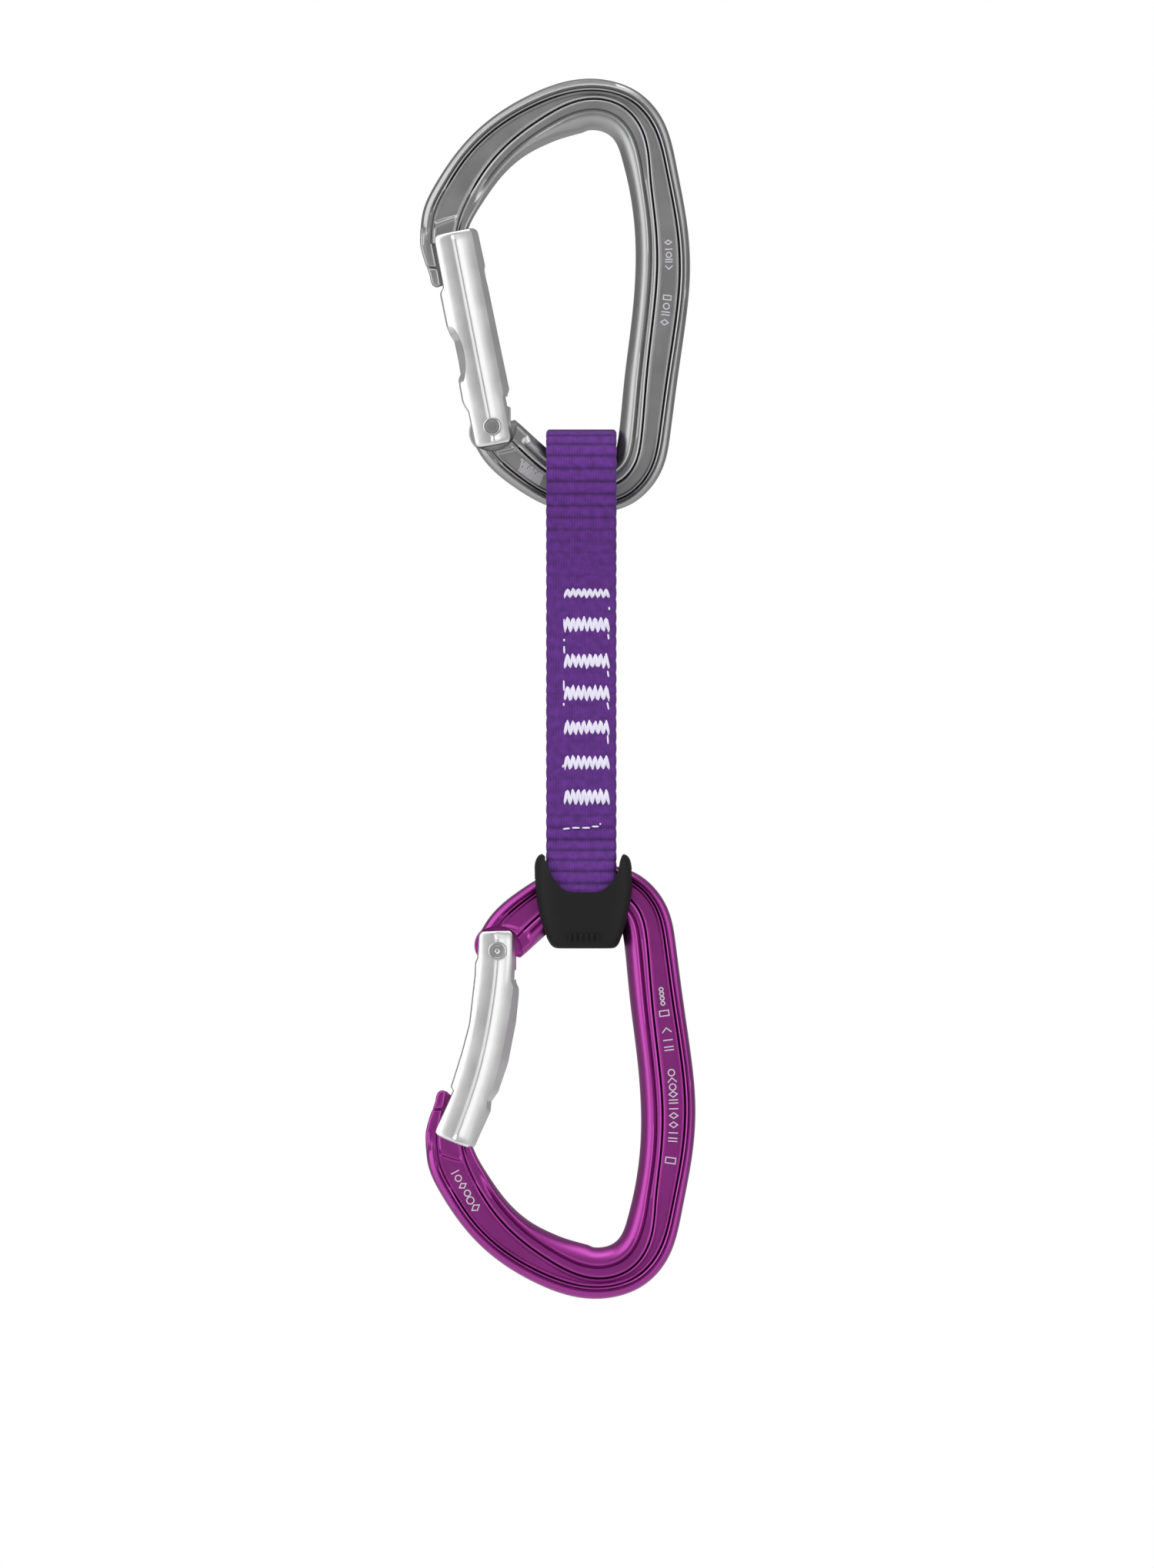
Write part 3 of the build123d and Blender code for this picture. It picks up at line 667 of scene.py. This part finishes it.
# ---- Frames, gates and rivets ----
upper_bar = carabiner("upper_frame_bar")
lower_bar = mirrored("lower_frame_bar", upper_bar)
declare(upper_bar, "upper_carabiner", "grey_anodised", grey, "upper_frame")
declare(lower_bar, "lower_carabiner", "purple_anodised", purple, "lower_frame")
NOSE_SLOTS = {False: [(-33.0, -37.1), (-33.0, -18), (-46, -18), (-46, -37.1)],
              True: [(-31.8, -222.8), (-31.8, -242), (-46, -242), (-46, -222.8)]}
for end, flip, sides, head in (("upper", False, (UPPER_CREASE, UPPER_LEFT, UPPER_RIGHT), FLAT_HEAD),
                               ("lower", True, (LOWER_CREASE, LOWER_LEFT, LOWER_RIGHT), RINGED_HEAD)):
    body = end + "_gate"
    shell = gate(end + "_gate_shell", *sides, not flip)
    hollow(shell, NOSE_SLOTS[flip], flip)
    declare(shell, body, "silver_anodised", silver, end + "_gate")
    declare(rivet(end + "_rivet_turned", head, flip), body, "stainless", steel, end + "_gate_rivet")
    coil = spring(end + "_spring_coil", flip)
    declare(coil, body, "stainless", steel, end + "_gate_spring")
    (x0, z0), (x1, z1) = (place(*along_gate(d), flip) for d in (0, BORE_TOP))
    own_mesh(coil)
    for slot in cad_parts[end + "_gate_pusher"].material_slots:
        slot.material = steel


# ---- Etched marks: plain signs in the bar's web ----
SIGNS = {  # strokes as runs of points, along the bar and across it
    "bar": [[(0, -0.8), (0, 0.8)]],
    "pair": [[(-0.3, -0.8), (-0.3, 0.8)], [(0.3, -0.8), (0.3, 0.8)]],
    "diamond": [[(-0.55, 0), (0, 0.8), (0.55, 0), (0, -0.8), (-0.55, 0)]],
    "ring": [circle(0, 0, 0.62, 14, 0, 359.9)],
    "chevron": [[(-0.4, -0.8), (0.4, 0), (-0.4, 0.8)]],
    "box": [[(-0.45, -0.8), (-0.45, 0.8), (0.45, 0.8), (0.45, -0.8), (-0.45, -0.8)]],
    "dots": [[(-0.1, k), (0.1, k)] for k in (-0.27, 0.27)],
}
MARK_LINE, MARK_SUNK, MARK_PROUD = 0.25, 0.1, 0.015  # a stroke's width, and its depth and height
MARK_LIFT = 0.004  # from one stroke's level to the next, so that strokes that cross aren't level


def marks(name, body, rows, flip, look, slot):
    """Rows of signs. Each row: start station, share of the width, size, spacing in mm, signs."""
    verts, faces = [], []

    def stroke(p, q):
        d = (q - p) / max(1e-6, np.linalg.norm(q - p)) * MARK_LINE / 2
        n = np.array([-d[1], d[0]])
        base = len(verts)
        lift = MARK_LIFT * (len(faces) // 6 % 7)
        for y in (WEB - MARK_SUNK, WEB + MARK_PROUD + lift):
            corners = (p - d - n, q + d - n, q + d + n, p - d + n)
            verts.extend((x * MM, -y * MM, z * MM) for x, z in corners)
        faces.extend(tuple(base + i for i in f) for f in (
            (0, 1, 2, 3), (4, 5, 6, 7), (0, 1, 5, 4), (1, 2, 6, 5), (2, 3, 7, 6), (3, 0, 4, 7)))

    for start, share, size, spacing, signs in rows:
        at = start
        for sign in signs:
            here = np.array(bar_point(at, share, flip))
            ahead = np.array(bar_point(at + 0.1, share, flip)) - here
            step = np.linalg.norm(ahead) * 10  # mm to a station
            along = ahead / np.linalg.norm(ahead)
            across = np.array([-along[1], along[0]])
            for run in SIGNS[sign]:
                pts = [here + size * (u * along + v * across) for u, v in run]
                for p, q in zip(pts, pts[1:]):
                    stroke(p, q)
            at += spacing / step
    o = new_object(name, verts, faces, smooth=False)
    outward(o)
    declare(o, body, slot, look)


marks("marks_upper", "upper_carabiner", [
    (10.35, 0.39, 0.95, 1.45, ["diamond", "bar", "ring", "pair", "chevron"]),
    (11.55, 0.39, 1.1, 1.75, ["box", "ring", "pair", "diamond"]),
] + [(18.45, share, 0.55, 0.55, ["dots"] * 12) for share in (0.31, 0.36, 0.41, 0.46, 0.51)],
    False, etched, "grey_anodised")
marks("marks_lower", "lower_carabiner", [
    (9.8, 0.40, 1.45, 2.2, ["box"]),
    (10.25, 0.40, 1.2, 1.9, ["pair", "bar", "diamond", "diamond"]),
    (11.0, 0.40, 1.2, 1.9, ["bar", "pair", "diamond", "ring", "chevron", "ring"]),
    (12.15, 0.39, 1.25, 1.9, ["pair", "bar", "chevron"]),
    (12.72, 0.39, 1.35, 2.0, ["box"]),
    (12.9, 0.39, 0.7, 1.0, ["ring"] * 4),
    (1.42, 0.46, 1.15, 1.7, ["bar", "ring", "diamond", "ring"]),
    (2.5, 0.43, 1.35, 2.3, ["ring", "diamond"]),
], True, etched, "purple_anodised")

# ---- Webbing: a band swept along its path in the YZ plane ----
WEB_LEFT, WEB_RIGHT, PLY = -11.0, 5.4, 1.7  # the band's edges, and how thick one ply is
WEB_SEAM = -131.0  # under a bar tack
UPPER_PATH = [
    (-0.9, WEB_SEAM), (-0.9, -121), (-0.9, -112), (-0.92, -106), (-1.2, -103.4), (-2.75, -98.7),
    (-5.5, -91.7), (-7.75, -84.9), (-8.45, -78.9), (-7.32, -74.68), (-4.23, -71.58), (0, -70.45),
]
LOWER_PATH = [
    (-0.9, WEB_SEAM), (-0.9, -142), (-0.9, -153), (-0.9, -163.5), (-1.25, -166.6), (-3.85, -170.6),
    (-5.5, -174.8), (-5.85, -182.35), (-5.07, -185.28), (-2.93, -187.42), (0, -188.2),
]
WEB_ROW, WEB_COLUMNS = 0.2, 34  # the mesh's rows in mm, and its columns on each face
RIB_PITCH, RIB_SHIFT = 2.85, 0.32  # from rib to rib in mm, and where they start, in pitches
RIB_SEWN, RIB_OPEN, SCALLOP = 0.03, 0.34, 0.17  # their depth, what an eye adds, and at the edges
WEB_EDGE = 0.75  # rounding of the band's edges
TURN_TUCK, TURN_RUN = 0.7, 1.3  # the band draws in where it turns over the bar
GRIP_Z, GRIP_RUN, GRIP_TUCK, GRIP_SHIFT = -177, 11, 2.0, 0.3  # and where the keeper holds it


def webbing(name, path, opening, top):
    """Both plies as one band; its ribs stand out where it opens into an eye. opening: the height
    where they start, the height where they are full; top: where the band turns over the bar."""
    path = path + [(-y, z) for y, z in path[-2::-1]]
    line = spline_rows(path, steps=26)
    away = np.r_[0, np.cumsum(np.linalg.norm(np.diff(line, axis=0), axis=1))]
    total = away[-1]
    at = np.linspace(0, total, int(total / WEB_ROW))
    line = np.stack([np.interp(at, away, line[:, k]) for k in (0, 1)], axis=1)
    tangent = np.gradient(line, axis=0)
    tangent /= np.linalg.norm(tangent, axis=1)[:, None]
    normal = np.stack([-tangent[:, 1], tangent[:, 0]], axis=1)
    middle, half_width = (WEB_LEFT + WEB_RIGHT) / 2, (WEB_RIGHT - WEB_LEFT) / 2
    shares = [-1 + 2 * i / WEB_COLUMNS for i in range(WEB_COLUMNS + 1)]
    rings, uvs, shades = [], [], []
    for ring, (y0, z0) in enumerate(line):
        open_here = smoothstep((z0 - opening[0]) / (opening[1] - opening[0]))
        from_turn = abs(at[ring] - total / 2)
        rib = abs(math.sin(math.pi * (from_turn / RIB_PITCH + RIB_SHIFT)))
        rise = (RIB_SEWN + RIB_OPEN * open_here) * (rib ** 0.6 - 1)
        scallop = SCALLOP * (rib ** 0.7 - 1)
        held = smoothstep((GRIP_Z - z0) / GRIP_RUN)
        tuck = TURN_TUCK * smoothstep(1 - abs(z0 - top) / TURN_RUN) ** 2 + GRIP_TUCK * held
        points = []
        for side in (1, -1):
            for share in shares[::side]:
                edge = min(1.0, (1 - abs(share)) * half_width / WEB_EDGE)
                round_ = math.sqrt(1 - (1 - edge) ** 2)
                wave = 0.02 * math.sin(share * 9 + ring * 0.11) * (1 - open_here)
                thick = PLY / 2 * (0.28 + 0.72 * round_) + (rise + wave) * (0.35 + 0.65 * edge)
                points.append((
                    middle + share * (half_width + scallop - tuck) + GRIP_SHIFT * held,
                    y0 + side * thick * normal[ring, 0],
                    z0 + side * thick * normal[ring, 1],
                ))
                uvs.append((share * half_width / UV_MM, from_turn / UV_MM))
                # Painted shade for the cloth's colour: strongest in the gaps between the ribs where the
                # band opens into an eye, weaker along the sewn core, which is also a little darker all
                # over.
                shades.append((1 - rib) ** 2 * (0.14 + 0.86 * open_here) + 0.13 * (1 - open_here))
        rings.append(points)
    o = tube(name, rings)
    layer = o.data.uv_layers.new(name="band")
    for loop in o.data.loops:
        layer.data[loop.index].uv = uvs[loop.vertex_index]
    o.data.attributes.new("rib_shade", "FLOAT", "POINT").data.foreach_set("value", shades)
    return o


violet = cloth("webbing_look", (0.088, 0.017, 0.186))
upper_web = webbing("webbing_upper", UPPER_PATH, (-102.0, -82.0), -69.6)
lower_web = webbing("webbing_lower", LOWER_PATH, (-156.0, -166.0), -189.0)
declare(upper_web, None, "webbing", violet, "webbing_upper_eye", "webbing_core")
declare(lower_web, None, "webbing", violet, "webbing_lower_eye")
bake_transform(upper_web)
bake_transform(lower_web)

# ---- Thread ----
TACKS = {  # number: height and how tall
    1: (-107.7, 2.6), 2: (-115.0, 4.1), 3: (-123.5, 3.9), 4: (-131.0, 4.15), 5: (-139.0, 3.8),
    6: (-147.1, 3.8), 7: (-155.1, 4.2),
}
TACK_LEFT, TACK_RIGHT, PEAKS = -6.7, 3.6, 8
# Each tack's four sweeps: shift along it in half peaks, share of its height, lift off the cloth
SWEEPS = ((0.0, 1.0, 0.10), (0.32, 0.8, 0.26), (-0.3, 0.72, 0.18), (0.12, 0.9, 0.34))
TACK_THREAD, BORDER_THREAD, BORDER_LIFT = 0.2, 0.22, 0.16  # radii, and the border's lift
CORE_FACE, NEEDLE_DEEP = 1.78, 0.12  # the sewn core's surface, and how far a stitch starts below it
STRAND_SIDES, STRAND_RINGS = 8, 9


def strand(verts, faces, p, q, radius, lift, side):
    """One stitch of thread between two needle holes, bowed off the cloth."""
    p, q = np.array(p), np.array(q)
    d = (q - p) / np.linalg.norm(q - p)
    n = np.array([-d[1], d[0]])
    sides, rings, base = STRAND_SIDES, STRAND_RINGS, len(verts)
    for r in range(rings):
        t = r / (rings - 1)
        bow = math.sin(math.pi * t)
        fat = radius * (0.35 + 0.65 * bow ** 0.4) if 0 < t < 1 else radius * 0.2
        c = p + (q - p) * t
        for k in range(sides):
            a = 2 * math.pi * k / sides
            off = n * math.cos(a) * fat
            depth = CORE_FACE - NEEDLE_DEEP + lift * bow ** 0.7 + math.sin(a) * fat * 0.8
            verts.append(((c[0] + off[0]) * MM, side * depth * MM, (c[1] + off[1]) * MM))
    for r in range(rings - 1):
        for k in range(sides):
            a, b = base + r * sides + k, base + r * sides + (k + 1) % sides
            faces.append((a, b, b + sides, a + sides))
    faces.append(tuple(base + k for k in range(sides))[::-1])
    faces.append(tuple(base + (rings - 1) * sides + k for k in range(sides)))


def tack(number, z, tall):
    """A bar tack: uneven zigzags of thread over one another, on both faces."""
    rng = random.Random(number)
    verts, faces = [], []
    step = (TACK_RIGHT - TACK_LEFT) / (2 * PEAKS)
    for side in (-1, 1):
        for shift, share, lift in SWEEPS:
            points = []
            for i in range(2 * PEAKS + 1):
                x = TACK_LEFT + (i + shift) * step + rng.uniform(-0.09, 0.09)
                h = (tall / 2 - 0.1) * share * (1 + rng.uniform(-0.13, 0.1))
                x = min(max(x, TACK_LEFT - 0.1), TACK_RIGHT + 0.15)
                points.append((x, z + (h if i % 2 else -h)))
            for p, q in zip(points, points[1:]):
                strand(verts, faces, p, q, TACK_THREAD, lift, side)
    o = new_object("stitch_tack_%d" % number, verts, faces)
    outward(o)
    declare(o, "sling_core", "thread", white, "bar_tack_%d" % number)


white = speckled("thread_look", (0.62, 0.59, 0.70), 0.7, 4000.0, 0.5)
for number, (z, tall) in TACKS.items():
    tack(number, z, tall)

# Short stitches beside the tacks, and the row that closes the overlap: (x, z, x, z)
LINES = [
    (-6.8, -113.6, -6.75, -116.0), (-6.8, -118.3, -6.8, -119.0), (-6.8, -119.9, -6.75, -121.9),
    (3.65, -110.9, 3.75, -111.7), (3.4, -117.1, 3.6, -118.6), (-6.9, -127.9, -6.8, -130.6),
    (-6.9, -133.2, -6.85, -134.0), (3.3, -125.7, 3.55, -127.3), (3.2, -133.0, 3.6, -134.9),
    (3.3, -140.6, 3.45, -142.9), (-7.0, -147.6, -7.1, -148.3), (-7.1, -162.6, -5.4, -162.4),
    (-5.0, -162.3, -3.1, -162.3), (-2.7, -162.3, -0.7, -162.3), (-0.4, -162.0, 1.3, -162.0),
    (1.5, -161.6, 1.75, -161.2),
]
verts, faces = [], []
for x0, z0, x1, z1 in LINES:
    for side in (-1, 1):
        strand(verts, faces, (x0, z0), (x1, z1), BORDER_THREAD, BORDER_LIFT, side)
border = new_object("stitch_border", verts, faces)
outward(border)
declare(border, "sling_core", "thread", white, "border_stitch")

# ---- Keeper: rounded block with two horns, moulded in rubber ----
KEEPER_SIDES = [  # z, left x, right x, half depth
    (-190.3, -8.3, 4.3, 5.6), (-190.1, -9.15, 5.1, 6.6), (-189.4, -9.95, 5.8, 7.3),
    (-188.0, -10.75, 6.4, 7.7), (-186.5, -11.35, 6.95, 7.9), (-184.0, -12.2, 7.7, 8.0),
    (-181.0, -12.9, 8.4, 8.05), (-178.0, -13.35, 8.95, 8.05), (-175.0, -13.6, 9.1, 8.0),
    (-172.5, -13.65, 9.0, 7.85), (-170.6, -13.6, 8.8, 7.5), (-169.4, -13.2, 8.4, 7.0),
    (-168.7, -12.7, 7.8, 6.4), (-168.4, -12.1, 7.1, 5.8),
]
MOUTH = [  # what is open between the horns
    (-12.3, -168.0), (-11.3, -168.9), (-10.7, -170.1), (-10.3, -171.8), (-9.6, -173.5), (-8.4, -175.1),
    (-7.3, -176.3), (-6.0, -177.0), (-4.5, -177.25), (0.2, -177.25), (1.6, -177.0), (2.8, -176.3),
    (4.0, -175.1), (5.2, -173.6), (5.9, -171.8), (6.2, -170.1), (6.6, -168.9), (7.4, -168.0),
    (7.4, -166), (-12.3, -166),
]
KEEPER_POINTS, SQUARENESS = 96, 5.0  # points to a row, and how square the block is
MOUTH_DEEP = 12  # half depth of the tool that opens it
ROOM_Z, ROOM_R, ROOM_TOP = -182.35, 6.75, -165  # the round-bottomed room for the webbing
ROOM_RISE = [  # x, and how much the room's bottom rises there
    (WEB_LEFT - 0.2, 4.0), (WEB_LEFT + 2.0, 0.0), (WEB_RIGHT - 1.6, 0.0), (WEB_RIGHT + 0.2, 4.0),
]
BAR_ROOM, BAR_ROOM_HALF = 0.03, 4.3  # room for the bar: share past its edges, and half thickness
GRIP_RIBS = [-5.5 + 1.3 * k for k in range(6)]  # x of the plain ribs on its front
GRIP_TOP, GRIP_BOTTOM, GRIP_R, GRIP_FRONT, GRIP_BACK = -186.9, -188.3, 0.32, -8.2, -7.0


def keeper():
    """The block, open between its horns and hollowed for the webbing's eye and the bar."""
    rings = []
    for z, left, right, half in spline_rows(KEEPER_SIDES, steps=4):
        ring = []
        for k in range(KEEPER_POINTS):
            a = 2 * math.pi * k / KEEPER_POINTS
            x, y = (math.copysign(abs(v) ** (2 / SQUARENESS), v)
                    for v in (math.cos(a), math.sin(a)))
            ring.append(((left + right) / 2 + x * (right - left) / 2, y * half, z))
        rings.append(ring)
    o = tube("keeper", rings)
    cut(o, slab("tool", MOUTH, -MOUTH_DEEP, MOUTH_DEEP))
    room = [[(x, y, z + lift) for y, z in circle(0, ROOM_Z, ROOM_R, 24, 180, 360)]
            + [(x, ROOM_R, ROOM_TOP), (x, -ROOM_R, ROOM_TOP)] for x, lift in ROOM_RISE]
    cut(o, tube("tool", room, smooth=False))
    stations = [15 + k / 3 for k in range(16)]
    bar = [bar_point(at, -BAR_ROOM, True) for at in stations]
    bar += [bar_point(at, 1 + BAR_ROOM, True) for at in stations[::-1]]
    cut(o, slab("tool", bar, -BAR_ROOM_HALF, BAR_ROOM_HALF))
    bevel(o, 0.3, 3, 40)
    for x in GRIP_RIBS:
        outline = circle(x, GRIP_TOP, GRIP_R, 12, 0, 180)
        outline += circle(x, GRIP_BOTTOM, GRIP_R, 12, 180, 360)
        rib = slab("rib", outline, GRIP_FRONT, GRIP_BACK)
        bevel(rib, 0.12, 2)
        join(o, rib)
    crisp(o, 40)
    return o


black = speckled("rubber_look", (0.006, 0.006, 0.006), 0.6, 2600.0, 0.25,
                 Specular_IOR_Level=0.16)
declare(keeper(), "lower_carabiner", "rubber", black, "rubber_keeper")


# ---- Lights, camera and floor ----
MIDDLE = (0, 0, -0.152)  # of the quickdraw, in metres


def softbox(name, location, size, power):
    """A rectangular light that faces the quickdraw and isn't seen itself."""
    data = bpy.data.lights.new(name, "AREA")
    data.shape, data.size, data.size_y, data.energy = "RECTANGLE", size[0], size[1], power
    o = bpy.data.objects.new(name, data)
    o.location = location
    o.rotation_euler = (Vector(MIDDLE) - Vector(location)).to_track_quat("-Z", "Y").to_euler()
    o.visible_camera = False
    scene.collection.objects.link(o)


softbox("left", (-1.35, -1.1, 0.2), (1.7, 2.6), 32)
softbox("right", (1.35, -1.1, -0.1), (1.6, 2.6), 27)
softbox("top", (0.0, -0.3, 1.6), (1.8, 1.0), 24)

# Surroundings: pale for the light they give, white to the camera
world = bpy.data.worlds.new("studio")
scene.world = world
world.use_nodes = True
wt = world.node_tree
back = wt.nodes["Background"]
back.inputs["Color"].default_value = (1, 1, 1, 1)
back.inputs["Strength"].default_value = 0.36
white_back = node(wt, "ShaderNodeBackground", Color=(1, 1, 1, 1), Strength=1.0)
mix = node(wt, "ShaderNodeMixShader", [
    (0, node(wt, "ShaderNodeLightPath").outputs["Is Camera Ray"]), (1, back.outputs[0]),
    (2, white_back.outputs[0])])
wt.links.new(mix.outputs[0], wt.nodes["World Output"].inputs["Surface"])
scene.view_settings.view_transform = "Standard"

# Camera: level with the middle of the quickdraw, far off with a long lens
CAMERA_FAR, VIEW_TALL = 3.0, 0.3648  # in metres
camera_data = bpy.data.cameras.new("camera")
camera_data.sensor_fit = "VERTICAL"
camera_data.sensor_height = 24.0
camera_data.lens = camera_data.sensor_height * CAMERA_FAR / VIEW_TALL
camera_data.clip_end = 50
camera = bpy.data.objects.new("camera", camera_data)
camera.location = (-0.0038, -CAMERA_FAR, -0.1521)
camera.rotation_euler = (math.pi / 2, 0, 0)
scene.collection.objects.link(camera)
scene.camera = camera

# Floor: well below the hanging quickdraw, and paler to the camera than its light makes it
FLOOR_Z, FLOOR_HALF, FLOOR_GLOW = -0.75, 4, 0.75
corners = ((-1, -1), (1, -1), (1, 1), (-1, 1))
floor = new_object("floor", [(x * FLOOR_HALF, y * FLOOR_HALF, FLOOR_Z) for x, y in corners],
                   [(0, 1, 2, 3)])
pale = speckled("floor_look", (0.9, 0.9, 0.9), 0.8, 30.0, 0.05, 0.01)
ft = pale.node_tree
seen = maths(ft, "MULTIPLY", node(ft, "ShaderNodeLightPath").outputs["Is Camera Ray"], FLOOR_GLOW)
glow = node(ft, "ShaderNodeEmission", Color=(0.97, 0.97, 0.97, 1), Strength=1.0)
lit = node(ft, "ShaderNodeMixShader", [
    (0, seen), (1, ft.nodes["Principled BSDF"].outputs[0]), (2, glow.outputs[0])])
ft.links.new(lit.outputs[0], ft.nodes["Material Output"].inputs["Surface"])
floor.data.materials.append(pale)
